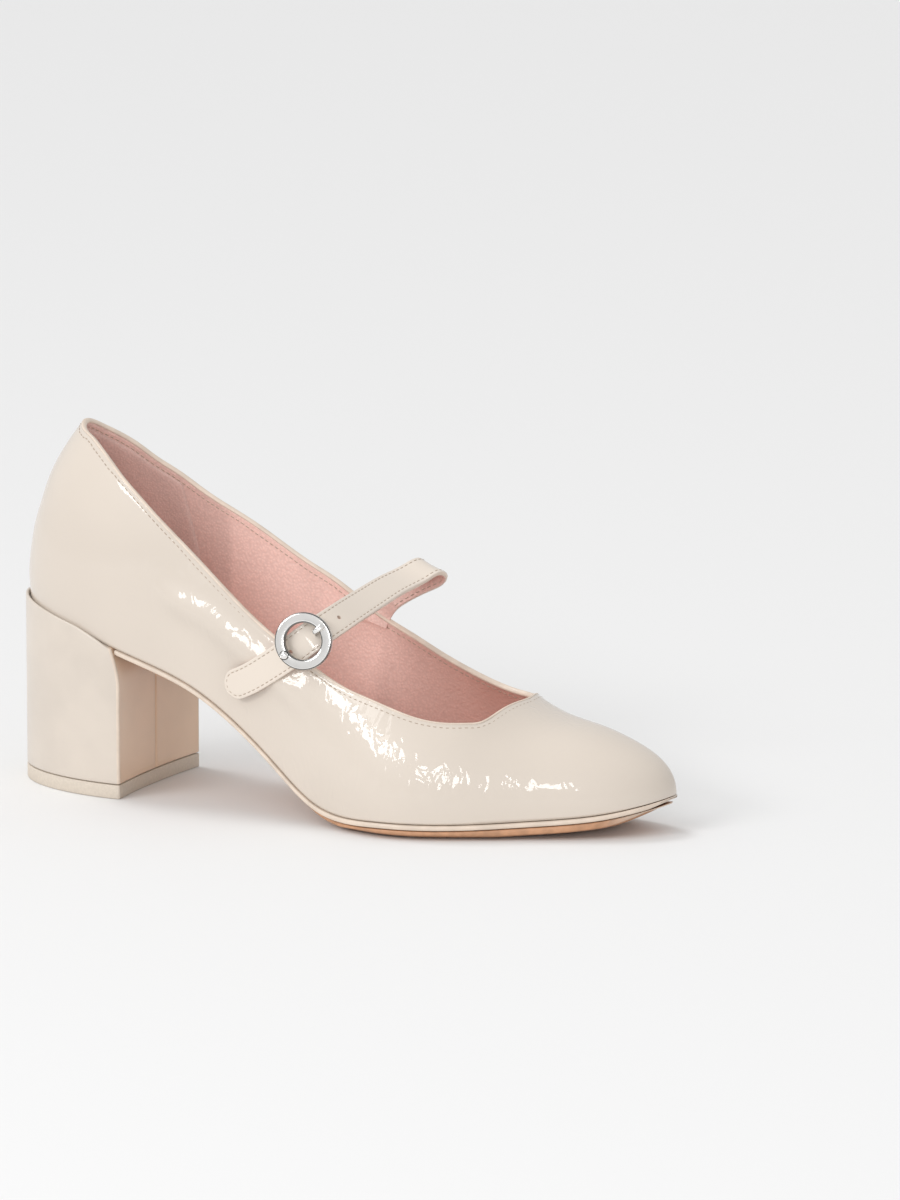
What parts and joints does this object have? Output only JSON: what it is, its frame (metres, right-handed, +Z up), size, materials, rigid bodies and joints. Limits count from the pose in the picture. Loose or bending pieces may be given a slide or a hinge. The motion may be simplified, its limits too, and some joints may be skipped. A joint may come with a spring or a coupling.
{
  "type": "mary jane pump",
  "caption": "Women's mary jane pump, right shoe: almond toe, hollow patent upper, slim instep strap with a round ring buckle, thin leather sole and a straight block heel.",
  "frame": {"origin": "on the floor, under the middle of the heel's flat top piece", "axes": "+X to the toe, +Y to the inner side of the foot, +Z up"},
  "size_m": [0.2277, 0.0761, 0.1181],
  "materials": {
    "patent": "glossy cream patent, slightly crinkled where it wraps the last",
    "heel_cover": "cream leather cover, semi-gloss",
    "edge_leather": "painted peach edge, satin",
    "sole_leather": "tan leather, smooth and matt",
    "top_piece": "cream rubber, matt",
    "lining": "dusty pink lining, fine grain, matt",
    "elastic": "ribbed off-white elastic, matt",
    "buckle_metal": "polished chrome"
  },
  "bodies": {
    "root": {"outsole": "sole_leather", "rand": "edge_leather", "heel_block": "heel_cover", "heel_top_piece": "top_piece", "upper": "patent", "insole": "lining", "strap": "patent", "buckle_ring": "buckle_metal", "buckle_prong": "buckle_metal", "prong_rivet": "buckle_metal", "buckle_chape": "elastic"}
  },
  "joints": []
}
